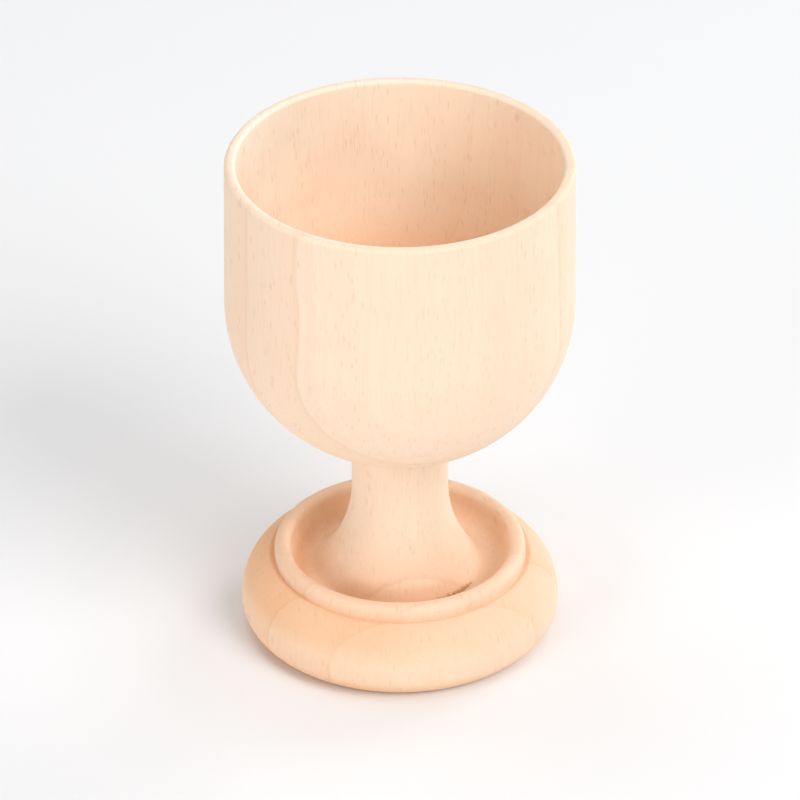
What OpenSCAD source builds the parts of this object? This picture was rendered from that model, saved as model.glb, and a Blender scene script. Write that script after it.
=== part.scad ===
// Wooden egg cup, turned in one piece from a beech blank.
// The whole cup is one outline spun round the Z axis. The origin is the middle of
// the resting face, +Z points up through the mouth, and lengths are millimetres.

/* [Cup] */
// Height from the table to the top of the lip
cup_h = 70; // [64:1:80]
// Outer diameter at the lip
lip_d = 45.5; // [42:0.5:50]

/* [Bowl] */
// Height of the bowl, from its underside at the stem up to the lip
bowl_h = 41.9; // [38:0.1:44]
// How far the wall swells past the lip at its fullest, on the radius
belly_swell = 0.2; // [0:0.05:0.6]
// Radius of the outside turn from the wall into the bottom
turn_r = 21.4; // [19:0.2:22]
// Wall thickness at the lip
lip_wall = 1.5; // [1.4:0.1:2.4]
// Radius that softens the outer edge of the lip
lip_outer_round = 0.6; // [0.3:0.1:0.7]
// Radius that softens the inner edge of the lip
lip_inner_round = 0.5; // [0.3:0.1:0.6]

/* [Hollow] */
// Depth of the hollow that holds the egg
hollow_depth = 34; // [30:0.5:35]
// Radius of the turn at the bottom of the hollow
hollow_turn_r = 19.5; // [17:0.5:20]
// How far the side of the hollow draws in on its way down to that turn
hollow_draft = 0.6; // [0.2:0.1:1]

/* [Stem] */
// Diameter of the stem under the bowl
stem_d = 12.8; // [11:0.2:14]
// Height where the stem starts to flare into the dish of the foot
cove_start_z = 21; // [19:0.5:22.5]
// Depth of the dish below the crest of the bead
dish_depth = 4.2; // [3.6:0.1:4.8]
// Radius of the round bottom of the dish, where it turns up into the bead
dish_turn_r = 2; // [1.4:0.1:2.2]

/* [Foot] */
// Largest diameter of the foot
foot_d = 42.4; // [41:0.2:46]
// Height of the largest diameter above the table
foot_widest_z = 3.8; // [3.6:0.1:4.6]
// Radius that rounds the foot under to the table
foot_under_r = 3.5; // [2:0.1:3.6]
// Diameter of the upper edge of the rounded shoulder
shoulder_d = 34.8; // [34.4:0.2:36]
// Height of that edge
shoulder_z = 10; // [9.4:0.1:10.4]

/* [Bead] */
// Diameter of the bead ring, at its crest
bead_d = 31.4; // [30.4:0.2:31.8]
// Thickness of the bead
bead_t = 2.1; // [1.5:0.1:2.2]
// Height of the crest of the bead above the table
bead_z = 12; // [11.6:0.1:12.6]
// Depth of the quirk between the bead and the shoulder, below the shoulder's edge
quirk_depth = 0.25; // [0.1:0.05:0.6]

/* [Underside] */
// Diameter of the shallow recess that leaves a ring to stand on
recess_d = 31; // [28:0.5:32]
// Depth of that recess in the middle
recess_depth = 0.6; // [0.3:0.1:1]
// Diameter of the mark that the lathe's centre leaves
centre_d = 2.6; // [1.6:0.2:4]
// Depth of that mark below the recess
centre_depth = 1.1; // [0.6:0.1:2]

/* [Hidden] */
$fn = 128;

// Overrun of a cut past the surface that it opens
over = 0.5;

// Radii of the named diameters
lip_r = lip_d / 2;
belly_r = lip_r + belly_swell;
stem_r = stem_d / 2;
foot_r = foot_d / 2;
shoulder_r = shoulder_d / 2;
bead_r = bead_d / 2;

// Heights of the bowl
bowl_z = cup_h - bowl_h;
belly_z = bowl_z + turn_r;
lip_edge_z = cup_h - lip_outer_round;

// Places in the hollow
mouth_r = lip_r - lip_wall;
hollow_z = cup_h - hollow_depth;
hollow_turn_z = hollow_z + hollow_turn_r;
hollow_side_r = mouth_r - hollow_draft;
mouth_edge_z = cup_h - lip_inner_round;

// Places in the foot
bead_half = bead_t / 2;
bead_centre_z = bead_z - bead_half;
bead_in_r = bead_r - bead_half;
bead_out_r = bead_r + bead_half;
quirk_z = shoulder_z - quirk_depth;

// The dish's round bottom turns up into the bead's inner side. The cove leaves the stem
// upright and runs into that bottom, and the two make its radius.
turn_centre_r = bead_in_r - dish_turn_r;
turn_centre_z = bead_z - dish_depth + dish_turn_r;
turn_out = turn_centre_r - stem_r;
turn_drop = cove_start_z - turn_centre_z;
cove_r = (turn_out * turn_out + turn_drop * turn_drop - dish_turn_r * dish_turn_r)
    / (2 * (turn_out - dish_turn_r));
cove_centre_r = stem_r + cove_r;

// Where the cove and the round bottom meet
meet_share = cove_r / (cove_r - dish_turn_r);
meet_r = cove_centre_r - (cove_centre_r - turn_centre_r) * meet_share;
meet_z = cove_start_z - turn_drop * meet_share;

// The shoulder is one arc, upright where the foot is widest, through the shoulder's edge
shoulder_in = foot_r - shoulder_r;
shoulder_rise = shoulder_z - foot_widest_z;
shoulder_arc_r = (shoulder_in * shoulder_in + shoulder_rise * shoulder_rise) / (2 * shoulder_in);

// Straight upper wall of the bowl and the softened outer edge of its lip
module wall_outline() {
    polygon([
        [0, belly_z],
        [belly_r, belly_z],
        [lip_r, lip_edge_z],
        [lip_r - lip_outer_round, lip_edge_z],
        [lip_r - lip_outer_round, cup_h],
        [0, cup_h]
    ]);
    translate([lip_r - lip_outer_round, lip_edge_z]) circle(r = lip_outer_round);
}

// Rounded bottom, flat at the axis and turned up with bend_r to stand upright at side_r
module round_bottom(side_r, bend_r, low_z) {
    intersection() {
        translate([0, low_z]) square([side_r, bend_r]);
        union() {
            translate([0, low_z]) square([max(side_r - bend_r, 0), bend_r]);
            translate([side_r - bend_r, low_z + bend_r]) circle(r = bend_r);
        }
    }
}

// Hollow for the egg, open at the top, with the softened inner edge of the lip
module hollow_outline() {
    polygon([
        [0, hollow_turn_z],
        [hollow_side_r, hollow_turn_z],
        [mouth_r, mouth_edge_z],
        [mouth_r, cup_h + over],
        [0, cup_h + over]
    ]);
    round_bottom(hollow_side_r, hollow_turn_r, hollow_z);
    translate([mouth_r, mouth_edge_z]) difference() {
        square([lip_inner_round, lip_inner_round + over]);
        translate([lip_inner_round, 0]) circle(r = lip_inner_round);
    }
}

// Stem, the cove that spreads it into the dish, and the dish's round bottom
module stem_outline() {
    translate([0, cove_start_z]) square([stem_r, belly_z - cove_start_z]);
    difference() {
        square([meet_r, cove_start_z]);
        translate([cove_centre_r, cove_start_z]) circle(r = cove_r);
    }
    difference() {
        polygon([
            [meet_r, 0],
            [bead_in_r, 0],
            [bead_in_r, turn_centre_z],
            [turn_centre_r, turn_centre_z],
            [meet_r, meet_z]
        ]);
        translate([turn_centre_r, turn_centre_z]) circle(r = dish_turn_r);
    }
}

// Foot: rounded under edge, arched shoulder, quirk and bead
module foot_outline() {
    translate([foot_r - foot_under_r, foot_under_r]) intersection() {
        circle(r = foot_under_r);
        translate([0, -foot_under_r]) square(foot_under_r);
    }
    translate([bead_in_r, 0]) square([foot_r - foot_under_r - bead_in_r, foot_under_r]);
    translate([bead_in_r, foot_under_r]) square([foot_r - bead_in_r, foot_widest_z - foot_under_r]);
    intersection() {
        translate([foot_r - shoulder_arc_r, foot_widest_z]) circle(r = shoulder_arc_r);
        polygon([
            [bead_in_r, foot_widest_z],
            [foot_r, foot_widest_z],
            [foot_r, shoulder_z],
            [shoulder_r, shoulder_z],
            [bead_out_r, quirk_z],
            [bead_in_r, quirk_z]
        ]);
    }
    translate([bead_in_r, foot_widest_z]) square([bead_t, bead_centre_z - foot_widest_z]);
    translate([bead_r, bead_centre_z]) circle(r = bead_half);
}

// Underside: a shallow dished recess and the mark of the lathe's centre
module underside_outline() {
    polygon([[0, -over], [recess_d / 2, -over], [recess_d / 2, 0], [0, recess_depth]]);
    polygon([[0, 0], [centre_d / 2, 0], [0, recess_depth + centre_depth]]);
}

// The whole cup
module egg_cup() {
    color("wheat") rotate_extrude() difference() {
        union() {
            wall_outline();
            round_bottom(belly_r, turn_r, bowl_z);
            stem_outline();
            foot_outline();
        }
        hollow_outline();
        underside_outline();
    }
}

egg_cup();
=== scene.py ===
import math

import bmesh
import bpy
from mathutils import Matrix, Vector, noise


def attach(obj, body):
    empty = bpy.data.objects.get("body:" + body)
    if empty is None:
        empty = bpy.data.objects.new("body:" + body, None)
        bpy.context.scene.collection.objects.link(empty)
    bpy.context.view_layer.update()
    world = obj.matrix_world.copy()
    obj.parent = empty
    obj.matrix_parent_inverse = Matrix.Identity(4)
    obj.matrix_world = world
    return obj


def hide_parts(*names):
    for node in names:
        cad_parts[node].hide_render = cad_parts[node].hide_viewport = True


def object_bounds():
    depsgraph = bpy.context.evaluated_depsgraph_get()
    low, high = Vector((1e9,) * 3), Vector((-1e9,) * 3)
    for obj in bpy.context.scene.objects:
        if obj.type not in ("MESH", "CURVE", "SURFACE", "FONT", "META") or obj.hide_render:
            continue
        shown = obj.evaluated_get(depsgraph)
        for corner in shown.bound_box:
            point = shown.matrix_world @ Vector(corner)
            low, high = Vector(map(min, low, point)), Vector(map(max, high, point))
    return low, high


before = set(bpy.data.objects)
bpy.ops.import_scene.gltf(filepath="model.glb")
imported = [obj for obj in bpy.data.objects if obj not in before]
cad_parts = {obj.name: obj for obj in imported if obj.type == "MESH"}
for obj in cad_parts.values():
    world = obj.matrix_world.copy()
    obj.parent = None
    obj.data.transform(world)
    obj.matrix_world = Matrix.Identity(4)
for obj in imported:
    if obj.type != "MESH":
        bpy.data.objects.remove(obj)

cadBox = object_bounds()
print("frame loaded, cup is", round(cadBox[1].z, 4), "m high")


# small helpers for working by selection

def clearSelection():
    if bpy.context.mode != "OBJECT":
        bpy.ops.object.mode_set(mode="OBJECT")
    bpy.ops.object.select_all(action="DESELECT")


def editMesh():
    return bmesh.from_edit_mesh(bpy.context.edit_object.data)


def selectPoints(rule):
    bpy.ops.mesh.select_mode(type="VERT")
    bpy.ops.mesh.select_all(action="DESELECT")
    mesh = editMesh()
    for point in mesh.verts:
        if rule(point.co):
            point.select_set(True)
    mesh.select_flush_mode()
    bmesh.update_edit_mesh(bpy.context.edit_object.data)


# The turned cup. Its outline is drawn in the XZ plane from the underside round to the
# bottom of the hollow, then spun round Z as on the lathe. Sizes are in millimetres.

cupShape = {
    "height": 70.0,
    "lipRadius": 22.75,
    "bellyRadius": 22.95,
    "bowlHeight": 41.9,
    "turnRadius": 21.4,
    "lipWall": 1.5,
    "lipOuterRound": 0.6,
    "lipInnerRound": 0.5,
    "hollowDepth": 34.0,
    "hollowTurn": 19.5,
    "hollowDraft": 0.6,
    "stemRadius": 6.4,
    "coveStart": 21.0,
    "dishDepth": 4.2,
    "dishTurn": 2.0,
    "footRadius": 21.2,
    "footWidest": 3.8,
    "footUnder": 3.5,
    "shoulderRadius": 17.4,
    "shoulderHeight": 10.0,
    "beadRadius": 15.7,
    "beadHeight": 12.0,
    "beadThick": 2.1,
    "quirkDepth": 0.25,
    "recessRadius": 15.5,
    "recessDepth": 0.6,
    "markRadius": 1.3,
    "markDepth": 1.1,
    "recessEase": 0.3,  # sanding has eased every cut corner
    "shoulderEase": 0.12,
    "quirkEase": 0.22,
    "neckEase": 0.25,
    "pointSpacing": 0.6,
    "roundPieces": 256,
    "joinWithin": 1e-3,
    "smoothAngle": 40.0,  # degrees
}

# metres for one millimetre of the drawing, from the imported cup's own height
unit = (cadBox[1].z - cadBox[0].z) / cupShape["height"]


def startOutline(height):
    clearSelection()
    bpy.ops.mesh.primitive_plane_add(size=unit, location=(0, 0, height * unit))
    cup = bpy.context.object
    bpy.ops.object.transform_apply(location=True, rotation=True, scale=True)
    bpy.ops.object.mode_set(mode="EDIT")
    bpy.ops.mesh.select_mode(type="VERT")
    bpy.ops.mesh.select_all(action="SELECT")
    bpy.ops.mesh.merge(type="CENTER")
    return cup


def penPoint():
    return next(point.co.copy() for point in editMesh().verts if point.select)


def lineTo(radius, height, spacing=cupShape["pointSpacing"]):
    way = Vector((radius * unit, 0, height * unit)) - penPoint()
    pieces = max(1, round(way.length / (spacing * unit)))
    for _ in range(pieces):
        bpy.ops.mesh.extrude_region_move(TRANSFORM_OT_translate={"value": way / pieces})


# positive degrees turn anticlockwise, seen from the front
def arcRound(radius, height, degrees, spacing=cupShape["pointSpacing"]):
    centre = Vector((radius * unit, 0, height * unit))
    reach = (penPoint() - centre).length * math.radians(abs(degrees))
    pieces = max(3, round(reach / (spacing * unit)))
    bpy.ops.mesh.spin(steps=pieces, angle=math.radians(degrees), center=centre, axis=(0, 1, 0))


def easeCorner(radius, height, ease, segments=3):
    corner = Vector((radius * unit, 0, height * unit))
    nearest = min((point.co - corner).length for point in editMesh().verts)
    within = nearest + cupShape["joinWithin"] * unit
    selectPoints(lambda place: (place - corner).length <= within)
    bpy.ops.mesh.bevel(offset=ease * unit, segments=segments, affect="VERTICES")


def drawCup(s):
    finest = s["pointSpacing"] / 4
    fine = s["pointSpacing"] / 2
    # underside: cone mark, shallow recess, resting ring
    coneSlope = (s["recessDepth"] + s["markDepth"]) / s["markRadius"]
    recessSlope = s["recessDepth"] / s["recessRadius"]
    markEdge = s["markDepth"] / (coneSlope - recessSlope)
    markEdgeHeight = s["recessDepth"] - recessSlope * markEdge
    cup = startOutline(s["recessDepth"] + s["markDepth"])
    lineTo(markEdge, markEdgeHeight, fine)
    lineTo(s["recessRadius"], 0)
    lineTo(s["footRadius"] - s["footUnder"], 0)
    arcRound(s["footRadius"] - s["footUnder"], s["footUnder"], 90, fine)
    lineTo(s["footRadius"], s["footWidest"], fine)

    # arched shoulder, quirk and bead
    shoulderIn = s["footRadius"] - s["shoulderRadius"]
    shoulderRise = s["shoulderHeight"] - s["footWidest"]
    shoulderArc = (shoulderIn ** 2 + shoulderRise ** 2) / (2 * shoulderIn)
    shoulderTurn = math.degrees(math.asin(shoulderRise / shoulderArc))
    arcRound(s["footRadius"] - shoulderArc, s["footWidest"], shoulderTurn, fine)
    beadHalf = s["beadThick"] / 2
    beadCentre = s["beadHeight"] - beadHalf
    quirkHeight = s["shoulderHeight"] - s["quirkDepth"]
    lineTo(s["beadRadius"] + beadHalf, quirkHeight, finest)
    lineTo(s["beadRadius"] + beadHalf, beadCentre, finest)
    arcRound(s["beadRadius"], beadCentre, 180, finest)

    # dish: the bead's inner side, a round bottom, and the cove that runs up into the stem
    beadInner = s["beadRadius"] - beadHalf
    turnPlace = beadInner - s["dishTurn"]
    turnHeight = s["beadHeight"] - s["dishDepth"] + s["dishTurn"]
    turnOut = turnPlace - s["stemRadius"]
    turnDrop = s["coveStart"] - turnHeight
    cove = (turnOut ** 2 + turnDrop ** 2 - s["dishTurn"] ** 2) / (2 * (turnOut - s["dishTurn"]))
    coveTurn = math.degrees(math.asin(turnDrop / (cove - s["dishTurn"])))
    lineTo(beadInner, turnHeight, fine)
    arcRound(turnPlace, turnHeight, coveTurn - 180, fine)
    arcRound(s["stemRadius"] + cove, s["coveStart"], -coveTurn, fine)

    # stem, bowl and lip
    bowlLow = s["height"] - s["bowlHeight"]
    belly = bowlLow + s["turnRadius"]
    turnCentre = s["bellyRadius"] - s["turnRadius"]
    stemReach = s["stemRadius"] - turnCentre
    neck = belly - math.sqrt(s["turnRadius"] ** 2 - stemReach ** 2)
    lineTo(s["stemRadius"], neck)
    bowlTurn = 90 - math.degrees(math.asin(stemReach / s["turnRadius"]))
    arcRound(turnCentre, belly, bowlTurn)
    lipEdge = s["height"] - s["lipOuterRound"]
    lineTo(s["lipRadius"], lipEdge)
    arcRound(s["lipRadius"] - s["lipOuterRound"], lipEdge, 90, finest)
    mouth = s["lipRadius"] - s["lipWall"]
    lineTo(mouth + s["lipInnerRound"], s["height"], finest)
    arcRound(mouth + s["lipInnerRound"], s["height"] - s["lipInnerRound"], 90, finest)

    # hollow
    hollowLow = s["height"] - s["hollowDepth"]
    hollowSide = mouth - s["hollowDraft"]
    lineTo(hollowSide, hollowLow + s["hollowTurn"])
    arcRound(hollowSide - s["hollowTurn"], hollowLow + s["hollowTurn"], -90)
    lineTo(0, hollowLow)

    easeCorner(s["recessRadius"], 0, s["recessEase"])
    easeCorner(s["shoulderRadius"], s["shoulderHeight"], s["shoulderEase"])
    easeCorner(s["beadRadius"] + beadHalf, quirkHeight, s["quirkEase"], segments=5)
    easeCorner(s["stemRadius"], neck, s["neckEase"])

    bpy.ops.mesh.select_all(action="SELECT")
    bpy.ops.mesh.spin(steps=s["roundPieces"], angle=math.tau, center=(0, 0, 0), axis=(0, 0, 1))
    bpy.ops.mesh.select_all(action="SELECT")
    bpy.ops.mesh.remove_doubles(threshold=s["joinWithin"] * unit)
    bpy.ops.mesh.normals_make_consistent(inside=False)
    return cup


cup = drawCup(cupShape)


# where the tool met end grain at the foot of the cove it left a thin, broken line of torn fibres
tornLook = {
    "radius": 11.0,  # lengths in millimetres
    "reach": 0.55,
    "lowest": 5.0,
    "highest": 9.8,
    "start": -66.0,  # degrees round from +X
    "end": -28.0,
    "taper": 6.0,
    "cuts": 3,
    "wander": 0.22,
    "wanderStretch": 0.5,
    "half": 0.44,
    "fullness": 0.35,
    "swellStretch": 1.5,
    "depth": 0.08,  # of each step
    "steps": 2,
}


def placeInDish(place):
    return math.hypot(place.x, place.y), math.degrees(math.atan2(place.y, place.x))


def nearTear(place, s):
    across, turn = placeInDish(place)
    inside = abs(across - s["radius"]) < s["reach"] and s["lowest"] < place.z < s["highest"]
    return inside and s["start"] < turn < s["end"]


# 1 in the middle of the torn line, 0 at its sides
def tornHere(place, s):
    if not nearTear(place, s):
        return 0.0
    across, turn = placeInDish(place)
    along = math.radians(turn) * s["radius"]
    line = s["radius"] + s["wander"] * noise.noise(Vector((along * s["wanderStretch"], 3.0, 4.0)))
    swell = s["fullness"] + noise.noise(Vector((along * s["swellStretch"], 8.0, 9.0)))
    ends = min(turn - s["start"], s["end"] - turn, s["taper"]) / s["taper"]
    half = s["half"] * min(swell, 1.0) * ends
    if half <= 0:
        return 0.0
    return 1.0 - abs(across - line) / half


def tearGrain(s):
    bpy.ops.mesh.select_mode(type="FACE")
    bpy.ops.mesh.select_all(action="DESELECT")
    for face in editMesh().faces:
        if nearTear(face.calc_center_median() / unit, s):
            face.select_set(True)
    bmesh.update_edit_mesh(bpy.context.edit_object.data)
    bpy.ops.mesh.subdivide(number_cuts=s["cuts"])
    editMesh().verts.layers.float.new("torn")
    count = 0
    for step in range(s["steps"]):
        limit = step / s["steps"]
        selectPoints(lambda place: tornHere(place / unit, s) > limit)
        mesh = editMesh()
        torn = mesh.verts.layers.float["torn"]
        for point in mesh.verts:
            if point.select:
                point[torn] += 1 / s["steps"]
                count += 1
        bmesh.update_edit_mesh(bpy.context.edit_object.data)
        bpy.ops.transform.shrink_fatten(value=-s["depth"] * unit)
    return count


print("torn grain:", tearGrain(tornLook), "points")
clearSelection()
cup.select_set(True)
bpy.context.view_layer.objects.active = cup
cup.name = "turned_cup"
cup.data.name = "turned_cup"
bpy.ops.object.shade_smooth_by_angle(angle=math.radians(cupShape["smoothAngle"]))
print("cup turned:", len(cup.data.vertices), "points", len(cup.data.polygons), "faces")


# small helpers for building node trees

def addNode(tree, kind, sockets=None, **settings):
    node = tree.nodes.new(kind)
    for name, value in settings.items():
        setattr(node, name, value)
    for name, value in (sockets or {}).items():
        if isinstance(value, bpy.types.NodeSocket):
            tree.links.new(value, node.inputs[name])
        else:
            node.inputs[name].default_value = value
    return node


def calc(tree, operation, *values):
    sockets = {number: value for number, value in enumerate(values)}
    return addNode(tree, "ShaderNodeMath", sockets, operation=operation).outputs[0]


def vectorCalc(tree, operation, *values):
    sockets = {number: value for number, value in enumerate(values)}
    node = addNode(tree, "ShaderNodeVectorMath", sockets, operation=operation)
    return node.outputs["Value" if operation == "LENGTH" else "Vector"]


def times(tree, value, *others):
    for other in others:
        value = calc(tree, "MULTIPLY", value, other)
    return value


def plus(tree, value, *others):
    for other in others:
        value = calc(tree, "ADD", value, other)
    return value


# a soft change from one value to another where the input crosses an edge
def ramp(tree, value, edge, start=0.0, end=1.0):
    low, high = edge
    sockets = {"Value": value, "From Min": low, "From Max": high, "To Min": start, "To Max": end}
    node = addNode(tree, "ShaderNodeMapRange", sockets, interpolation_type="SMOOTHSTEP")
    return node.outputs["Result"]


def fall(tree, value, edge):
    return ramp(tree, value, edge, 1.0, 0.0)


def blendColour(tree, amount, under, over, kind="MIX"):
    sockets = {0: amount, 6: under, 7: over}
    node = addNode(tree, "ShaderNodeMix", sockets, data_type="RGBA", blend_type=kind)
    return node.outputs[2]


# a colour as it reads on the screen, 0 to 255, for a shader's socket
def screenColour(red, green, blue):
    def linear(value):
        value /= 255
        return value / 12.92 if value <= 0.04045 else ((value + 0.055) / 1.055) ** 2.4
    return (linear(red), linear(green), linear(blue), 1.0)


# Beech: growth rings round a pith that lies well outside the blank, thin rays that run
# out from it, and fine pores along Z. Lengths are in millimetres, and a stretch is a
# pattern's repeats for each of them. Two numbers together are where a change starts and ends.

beechLook = {
    "colours": {
        "pale": screenColour(252, 227, 202),
        "late": screenColour(249, 216, 187),
        "ray": screenColour(204, 156, 116),
        "pore": screenColour(212, 168, 128),
        "endGrain": screenColour(247, 216, 187),
        # painted shade colour for the bottom of the dish
        "paintedDishShade": screenColour(230, 204, 178),
        # hollow: painted highlight colour for the hollow's wall
        "hollow": screenColour(255, 248, 232),
        "torn": screenColour(168, 108, 64),
    },
    "grain": {
        "pith": (-24.0, 92.0, 0.0),
        "bend": 5.2,
        "bendStretch": (0.03, 0.03, 0.014),
        "bendDetail": 2.0,
        "wobble": 0.8,
        "wobbleStretch": (0.35, 0.35, 0.09),
        "wobbleDetail": 3.0,
    },
    "rings": {
        "width": 8.0,
        "start": 0.8,
        "uneven": 0.5,
        "unevenStretch": 0.16,
        "sharpness": 3.5,
        "weakest": 0.35,
        "fineWidth": 2.3,
        "fineShare": 0.22,
        "fineSharpness": 3.0,
        "lateEnd": (0.95, 1.0),
        "lineStart": (0.9, 0.96),
        "lineEnd": (0.96, 1.0),
        "lineShare": 0.22,
    },
    "rays": {
        "size": (3.2, 0.42, 2.2),  # out from the pith, round it, and along Z
        "edge": (0.2, 0.36),
        "kept": (0.35, 1.0),
        "share": 0.21,
        "gloss": -0.16,
    },
    "pores": {
        "stretch": (5.5, 5.5, 0.22),
        "detail": 2.0,
        "edge": (0.56, 0.72),
        "share": 0.16,
        "roughness": 0.12,
    },
    "tone": {
        "streakStretch": (1.1, 1.1, 0.02),
        "cloudScale": 0.07,
        "detail": 3.0,
        "edge": (0.3, 0.7),
        "streakShare": 0.36,
        "cloudShare": 0.35,
    },
    "hollow": {  # its wall is painted paler towards the top, less so at the right: a painted highlight
        "middle": 55.5,
        "reach": (21.3, 22.5),
        "paintedLightFrom": (42.0, 60.0),
        "paintedSideLeftToRight": (0.0, 20.0),
        "paintedSideRightShare": 0.3,
        "share": 0.8,
    },
    "foot": {  # warmer than the bowl from its end grain, with painted shade most of all at the left
        "top": (12.5, 20.0),
        "dishEdge": (11.0, 17.5),
        "dishPaintedLightShare": 0.3,
        "paintedSideLeftToRight": (-18.0, 16.0),
        "paintedShadeLeftShare": 1.4,
        "paintedSideRightShare": 0.74,
        "sideShare": 0.3,
        "topShare": 0.5,
        "bead": (10.9, 11.7),
        "beadHighlightShare": 0.45,
    },
    "paintedDishShade": {  # painted shade round the bottom of the dish, at the front and left
        "inner": (8.7, 10.6),
        "outer": (13.8, 14.8),
        "low": (3.0, 6.0),
        "high": (10.0, 11.5),
        "front": (-9.0, -5.0),
        "left": (-13.5, -10.5),
        "share": 0.7,
    },
    "endGrain": {
        "facing": (0.15, 0.6),
        "most": 0.75,
        "lip": (66.0, 69.0),
        "roughness": 0.12,
    },
    "relief": {  # heights in millimetres
        "pores": -0.012,
        "rays": -0.006,
        "late": 0.01,
        "sanding": 0.008,
        "sandingStretch": 7.0,
        "sandingTurns": 1.5,
    },
    "tornShare": 0.65,
    "roughness": 0.6,
}


def grainDrift(tree, blank, size, stretch, detail):
    drift = addNode(tree, "ShaderNodeTexNoise", {
        "Vector": vectorCalc(tree, "MULTIPLY", blank, stretch),
        "Scale": 1.0,
        "Detail": detail,
    })
    centred = vectorCalc(tree, "SUBTRACT", drift.outputs["Color"], (0.5, 0.5, 0.5))
    return vectorCalc(tree, "MULTIPLY", centred, (size, size, size))


# growth rings of uneven width, each paler first and darker at its end, with a thin line there
def growthRings(tree, reach, look):
    uneven = addNode(tree, "ShaderNodeTexNoise", {
        "W": times(tree, reach, look["unevenStretch"]),
        "Scale": 1.0,
    }, noise_dimensions="1D")
    count = calc(tree, "DIVIDE", reach, look["width"])
    count = plus(tree, count, times(tree, uneven.outputs["Fac"], look["uneven"]), look["start"])
    within = calc(tree, "FRACT", count)
    ringNumber = calc(tree, "FLOOR", count)
    strength = addNode(tree, "ShaderNodeTexWhiteNoise", {"W": ringNumber}, noise_dimensions="1D")
    strength = strength.outputs["Value"]
    late = calc(tree, "POWER", within, look["sharpness"])
    late = times(tree, late, ramp(tree, strength, (0.0, 1.0), look["weakest"], 1.0))
    fineWithin = calc(tree, "FRACT", times(tree, count, look["width"] / look["fineWidth"]))
    fineLate = calc(tree, "POWER", fineWithin, look["fineSharpness"])
    late = plus(tree, late, times(tree, fineLate, look["fineShare"]))
    late = times(tree, late, fall(tree, within, look["lateEnd"]))
    line = times(tree, ramp(tree, within, look["lineStart"]), fall(tree, within, look["lineEnd"]), strength)
    return late, times(tree, line, look["lineShare"])


# rays: thin plates out from the pith, cut across as short dashes, along as flecks
def rayFlecks(tree, fromPith, reach, pith, look):
    parts = addNode(tree, "ShaderNodeSeparateXYZ", {"Vector": fromPith})
    heading = calc(tree, "ARCTAN2", parts.outputs["Y"], parts.outputs["X"])
    out, around, along = look["size"]
    cellPlace = addNode(tree, "ShaderNodeCombineXYZ", {
        "X": calc(tree, "DIVIDE", reach, out),
        "Y": calc(tree, "DIVIDE", times(tree, heading, math.hypot(*pith)), around),
        "Z": calc(tree, "DIVIDE", parts.outputs["Z"], along),
    })
    cells = addNode(tree, "ShaderNodeTexVoronoi", {"Vector": cellPlace.outputs["Vector"], "Scale": 1.0})
    choice = addNode(tree, "ShaderNodeSeparateColor", {"Color": cells.outputs["Color"]})
    kept = ramp(tree, choice.outputs["Red"], look["kept"])
    return times(tree, fall(tree, cells.outputs["Distance"], look["edge"]), kept)


# where the hollow's wall is painted paler, a painted highlight towards its top and left
def paintedHollowLight(tree, hollow, place, look):
    height = ramp(tree, place.outputs["Z"], look["paintedLightFrom"])
    side = ramp(tree, place.outputs["X"], look["paintedSideLeftToRight"], 1.0, look["paintedSideRightShare"])
    return times(tree, hollow, height, side, look["share"])


# how far the foot is warmer: more where its end grain faces up, painted shade towards the left, painted
# lighter in the dish, and a painted highlight on the bead's crest
def footGrainAndPaintedShade(tree, across, endGrain, place, look):
    foot = fall(tree, place.outputs["Z"], look["top"])
    outside = ramp(tree, across, look["dishEdge"], look["dishPaintedLightShare"], 1.0)
    side = ramp(tree, place.outputs["X"], look["paintedSideLeftToRight"], look["paintedShadeLeftShare"], look["paintedSideRightShare"])
    upward = plus(tree, times(tree, endGrain, look["topShare"]), look["sideShare"])
    bead = ramp(tree, place.outputs["Z"], look["bead"], 1.0, look["beadHighlightShare"])
    return times(tree, foot, outside, side, upward, bead)


# painted shade round the bottom of the dish, stronger at the front and left, where the bead and the bowl
# shade it
def paintedDishShadeMask(tree, across, place, look):
    ring = times(tree, ramp(tree, across, look["inner"]), fall(tree, across, look["outer"]))
    above = ramp(tree, place.outputs["Z"], look["low"])
    height = times(tree, above, fall(tree, place.outputs["Z"], look["high"]))
    front = fall(tree, place.outputs["Y"], look["front"])
    left = fall(tree, place.outputs["X"], look["left"])
    return times(tree, ring, height, calc(tree, "MAXIMUM", front, left), look["share"])


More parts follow.
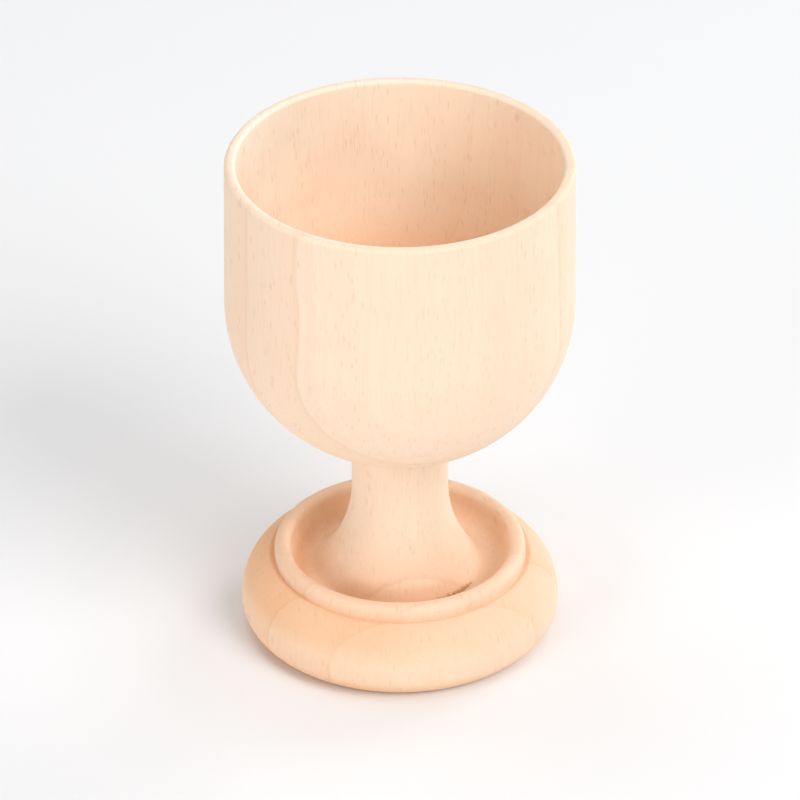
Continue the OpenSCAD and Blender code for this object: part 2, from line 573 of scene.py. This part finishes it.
def beechMaterial(look):
    material = bpy.data.materials.new("beech")
    material.use_nodes = True
    tree = material.node_tree
    shader = tree.nodes["Principled BSDF"]
    colours = look["colours"]
    coordinates = addNode(tree, "ShaderNodeTexCoord")
    millimetres = addNode(tree, "ShaderNodeMapping", {
        "Vector": coordinates.outputs["Object"],
        "Scale": (1 / unit,) * 3,
    })
    blank = millimetres.outputs["Vector"]
    place = addNode(tree, "ShaderNodeSeparateXYZ", {"Vector": blank})
    across = vectorCalc(tree, "LENGTH", vectorCalc(tree, "MULTIPLY", blank, (1.0, 1.0, 0.0)))

    # the grain wanders a little
    wood = look["grain"]
    bend = grainDrift(tree, blank, wood["bend"], wood["bendStretch"], wood["bendDetail"])
    wobble = grainDrift(tree, blank, wood["wobble"], wood["wobbleStretch"], wood["wobbleDetail"])
    grain = vectorCalc(tree, "ADD", vectorCalc(tree, "ADD", blank, bend), wobble)
    fromPith = vectorCalc(tree, "SUBTRACT", grain, wood["pith"])
    reach = vectorCalc(tree, "LENGTH", vectorCalc(tree, "MULTIPLY", fromPith, (1.0, 1.0, 0.0)))
    late, line = growthRings(tree, reach, look["rings"])
    rays = rayFlecks(tree, fromPith, reach, wood["pith"], look["rays"])

    # pores: fine dark scratches along the grain, dots on the end grain
    poreNoise = addNode(tree, "ShaderNodeTexNoise", {
        "Vector": vectorCalc(tree, "MULTIPLY", grain, look["pores"]["stretch"]),
        "Scale": 1.0,
        "Detail": look["pores"]["detail"],
    })
    pores = ramp(tree, poreNoise.outputs["Fac"], look["pores"]["edge"])

    # broad tone: streaks along the grain and soft clouds
    tone = look["tone"]
    streak = addNode(tree, "ShaderNodeTexNoise", {
        "Vector": vectorCalc(tree, "MULTIPLY", grain, tone["streakStretch"]),
        "Scale": 1.0,
        "Detail": tone["detail"],
    })
    cloud = addNode(tree, "ShaderNodeTexNoise", {
        "Vector": blank,
        "Scale": tone["cloudScale"],
        "Detail": tone["detail"],
    })

    # end grain shows where the foot and the hollow face along the blank; it is left off the lip, whose top
    # stays pale as a painted highlight
    facing = addNode(tree, "ShaderNodeSeparateXYZ", {"Vector": coordinates.outputs["Normal"]})
    upright = calc(tree, "ABSOLUTE", facing.outputs["Z"])
    endGrain = ramp(tree, upright, look["endGrain"]["facing"], 0.0, look["endGrain"]["most"])
    below = calc(tree, "MINIMUM", calc(tree, "SUBTRACT", place.outputs["Z"], look["hollow"]["middle"]), 0.0)
    hollowReach = calc(tree, "SQRT", plus(tree, times(tree, across, across), times(tree, below, below)))
    hollow = fall(tree, hollowReach, look["hollow"]["reach"])
    # the foot's end grain, with painted shade at its left, painted lighter in the dish and a painted
    # highlight on the bead's crest
    footGrainAndShade = footGrainAndPaintedShade(tree, across, endGrain, place, look["foot"])
    endGrain = calc(tree, "MAXIMUM", times(tree, endGrain, hollow), footGrainAndShade)
    endGrain = times(tree, endGrain, fall(tree, place.outputs["Z"], look["endGrain"]["lip"]))
    torn = addNode(tree, "ShaderNodeAttribute", attribute_name="torn")

    colour = blendColour(tree, late, colours["pale"], colours["late"])
    colour = blendColour(tree, line, colour, colours["pore"])
    amount = ramp(tree, streak.outputs["Fac"], tone["edge"], 0.0, tone["streakShare"])
    colour = blendColour(tree, amount, colour, colours["late"])
    # painted highlight on the hollow's wall, paler towards its top and left
    amount = paintedHollowLight(tree, hollow, place, look["hollow"])
    colour = blendColour(tree, amount, colour, colours["hollow"])
    colour = blendColour(tree, endGrain, colour, colours["endGrain"], "MULTIPLY")
    amount = ramp(tree, cloud.outputs["Fac"], tone["edge"], 0.0, tone["cloudShare"])
    colour = blendColour(tree, amount, colour, colours["late"])
    colour = blendColour(tree, times(tree, pores, look["pores"]["share"]), colour, colours["pore"])
    colour = blendColour(tree, times(tree, rays, look["rays"]["share"]), colour, colours["ray"])
    # painted shade round the bottom of the dish
    amount = paintedDishShadeMask(tree, across, place, look["paintedDishShade"])
    colour = blendColour(tree, amount, colour, colours["paintedDishShade"], "MULTIPLY")
    colour = blendColour(tree, times(tree, torn.outputs["Fac"], look["tornShare"]), colour, colours["torn"])
    tree.links.new(colour, shader.inputs["Base Color"])

    rough = plus(tree, times(tree, rays, look["rays"]["gloss"]), look["roughness"],
                 times(tree, pores, look["pores"]["roughness"]),
                 times(tree, endGrain, look["endGrain"]["roughness"]))
    tree.links.new(rough, shader.inputs["Roughness"])

    # relief: open pores, sunken rays, raised late wood, and rings left by sanding on the lathe
    relief = look["relief"]
    turn = calc(tree, "ARCTAN2", place.outputs["Y"], place.outputs["X"])
    sandPlace = addNode(tree, "ShaderNodeCombineXYZ", {
        "X": times(tree, across, relief["sandingStretch"]),
        "Y": times(tree, place.outputs["Z"], relief["sandingStretch"]),
        "Z": times(tree, turn, relief["sandingTurns"]),
    })
    sanding = addNode(tree, "ShaderNodeTexNoise", {"Vector": sandPlace.outputs["Vector"], "Scale": 1.0})
    height = plus(tree, times(tree, pores, relief["pores"]), times(tree, rays, relief["rays"]),
                  times(tree, late, relief["late"]), times(tree, sanding.outputs["Fac"], relief["sanding"]))
    bump = addNode(tree, "ShaderNodeBump", {"Height": height, "Distance": unit, "Strength": 1.0})
    tree.links.new(bump.outputs["Normal"], shader.inputs["Normal"])
    return material


cup.data.materials.clear()
cup.data.materials.append(beechMaterial(beechLook))
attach(cup, "root")
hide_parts("egg_cup")
print("beech made")


# pale table, soft studio light

setLook = {
    "tableSize": 6.0,
    "tableColour": screenColour(243, 244, 246),
    "backColour": screenColour(240, 240, 241),
    "tableShade": 0.985,
    "tableMottle": 3.0,
    "tableRoughness": 0.7,
    "fade": (0.2, 0.75),  # metres from the cup
    "skyStrength": 0.34,
    "lampAim": (0.0, 0.0, 0.035),
    "lamps": [
        # name, place in metres, size, watts, colour
        ("key_right", (0.65, -0.65, 0.81), 0.7, 7.1, (1.0, 1.0, 1.0)),
        ("fill_left", (-0.82, -0.82, 0.35), 0.7, 4.6, (1.0, 0.96, 0.91)),
        ("rim_right", (0.82, 0.82, 0.35), 0.7, 5.4, (1.0, 0.99, 0.97)),
        ("back_left", (-0.36, 0.36, 1.12), 0.7, 1.8, (1.0, 1.0, 1.0)),
        ("overhead", (0.1, -0.1, 1.2), 0.7, 2.4, (1.0, 1.0, 1.0)),
    ],
}


# 1 where the camera sees the surface itself, also in a reflection or through glass
def seenDirectly(tree):
    path = addNode(tree, "ShaderNodeLightPath")
    seen = calc(tree, "MAXIMUM", path.outputs["Is Camera Ray"], path.outputs["Is Glossy Ray"])
    return calc(tree, "MAXIMUM", seen, path.outputs["Is Transmission Ray"])


def makeTable(look):
    clearSelection()
    bpy.ops.mesh.primitive_plane_add(size=look["tableSize"], location=(0, 0, 0))
    table = bpy.context.object
    table.name = "table"
    material = bpy.data.materials.new("table")
    material.use_nodes = True
    tree = material.node_tree
    shader = tree.nodes["Principled BSDF"]
    place = addNode(tree, "ShaderNodeTexCoord")
    mottle = addNode(tree, "ShaderNodeTexNoise", {
        "Vector": place.outputs["Object"],
        "Scale": look["tableMottle"],
    })
    darker = [value * look["tableShade"] for value in look["tableColour"][:3]] + [1.0]
    colour = blendColour(tree, mottle.outputs["Fac"], look["tableColour"], darker)
    tree.links.new(colour, shader.inputs["Base Color"])
    shader.inputs["Roughness"].default_value = look["tableRoughness"]

    # far from the cup the camera sees the table run into the pale wall behind it
    far = vectorCalc(tree, "LENGTH", place.outputs["Object"])
    fade = times(tree, ramp(tree, far, look["fade"]), seenDirectly(tree))
    glow = addNode(tree, "ShaderNodeEmission", {"Color": look["backColour"]})
    blend = addNode(tree, "ShaderNodeMixShader", {0: fade, 1: shader.outputs[0], 2: glow.outputs[0]})
    tree.links.new(blend.outputs[0], tree.nodes["Material Output"].inputs["Surface"])
    table.data.materials.append(material)


def makeSky(look):
    world = bpy.data.worlds.new("studio")
    bpy.context.scene.world = world
    world.use_nodes = True
    tree = world.node_tree
    background = tree.nodes["Background"]
    seen = seenDirectly(tree)
    colour = blendColour(tree, seen, (1.0, 1.0, 1.0, 1.0), look["backColour"])
    tree.links.new(colour, background.inputs["Color"])
    strength = times(tree, calc(tree, "SUBTRACT", 1.0, seen), look["skyStrength"])
    tree.links.new(plus(tree, strength, seen), background.inputs["Strength"])


def aimFrom(holder, place, target):
    holder.location = place
    way = Vector(target) - Vector(place)
    holder.rotation_euler = way.to_track_quat("-Z", "Y").to_euler()


def makeLamps(look):
    for name, place, size, watts, colour in look["lamps"]:
        lamp = bpy.data.lights.new(name, "AREA")
        lamp.shape = "DISK"
        lamp.size = size
        lamp.energy = watts
        lamp.color = colour
        holder = bpy.data.objects.new(name, lamp)
        bpy.context.scene.collection.objects.link(holder)
        aimFrom(holder, place, look["lampAim"])


makeTable(setLook)
makeSky(setLook)
makeLamps(setLook)
print("table and lights placed")


# the same station as the photograph's camera, with a longer lens aimed at the cup

cameraLook = {
    "place": (0.0052, -0.7455, 0.4989),
    "aim": (0.0, 0.0, 0.0338),
    "lens": 300.0,
    "sensor": 36.0,
}


def makeCamera(look):
    camera = bpy.data.cameras.new("camera")
    camera.sensor_width = look["sensor"]
    camera.lens = look["lens"]
    holder = bpy.data.objects.new("camera", camera)
    bpy.context.scene.collection.objects.link(holder)
    aimFrom(holder, look["place"], look["aim"])
    bpy.context.scene.camera = holder


makeCamera(cameraLook)
bpy.context.scene.view_settings.view_transform = "Standard"

print("done")
